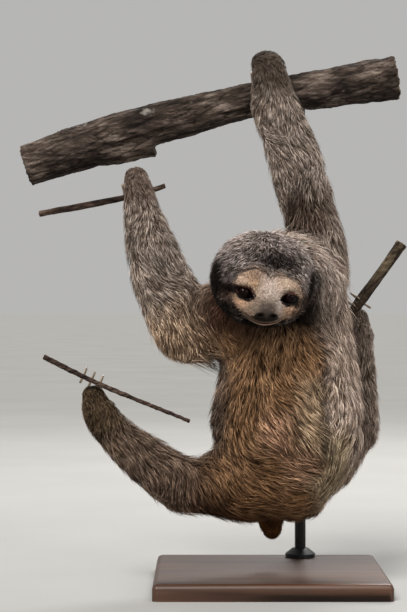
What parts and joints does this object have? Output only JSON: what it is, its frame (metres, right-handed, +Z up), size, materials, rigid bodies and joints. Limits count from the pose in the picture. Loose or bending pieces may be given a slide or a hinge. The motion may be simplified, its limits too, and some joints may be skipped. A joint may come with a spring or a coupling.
{
  "type": "three-toed sloth",
  "caption": "Life-size young three-toed sloth with shaggy grey-brown coat and pale masked face, hanging by one hand from a cut branch on a small rod stand.",
  "frame": {"origin": "centre of the underside of the stand's base", "axes": "+Z up; the animal faces -Y; its left side is at +X; the branch runs along X"},
  "size_m": [0.3802, 0.2483, 0.5155],
  "materials": {
    "coat": "matt, shaggy hair, grey-brown with paler streaks",
    "face_coat": "matt, short hair, pale mask with dark eye stripes",
    "eye": "wet gloss",
    "horn": "satin horn",
    "bark": "rough bark with pale lichen spots",
    "base_wood": "dark stain, satin",
    "black_steel": "black powder coat"
  },
  "bodies": {
    "root": {"claw_foot_left_1": "horn", "claw_foot_left_2": "horn", "claw_foot_left_3": "horn", "claw_foot_right_1": "horn", "claw_foot_right_2": "horn", "claw_foot_right_3": "horn", "claw_hand_left_1": "horn", "claw_hand_left_2": "horn", "claw_hand_left_3": "horn", "claw_hand_right_1": "horn", "claw_hand_right_2": "horn", "claw_hand_right_3": "horn", "eye_left": "eye", "eye_right": "eye", "foot_left": "coat", "foot_right": "coat", "forearm_left": "coat", "forearm_right": "coat", "hand_left": "coat", "hand_right": "coat", "head": "face_coat", "neck": "coat", "perch_branch": "bark", "perch_foot_twig": "bark", "perch_hand_twig": "bark", "perch_side_branch": "bark", "shank_left": "coat", "shank_right": "coat", "stand_base": "base_wood", "stand_clamp": "black_steel", "stand_collar": "black_steel", "stand_rod": "black_steel", "tail": "coat", "thigh_left": "coat", "thigh_right": "coat", "trunk": "coat", "upper_arm_left": "coat", "upper_arm_right": "coat"}
  },
  "joints": []
}
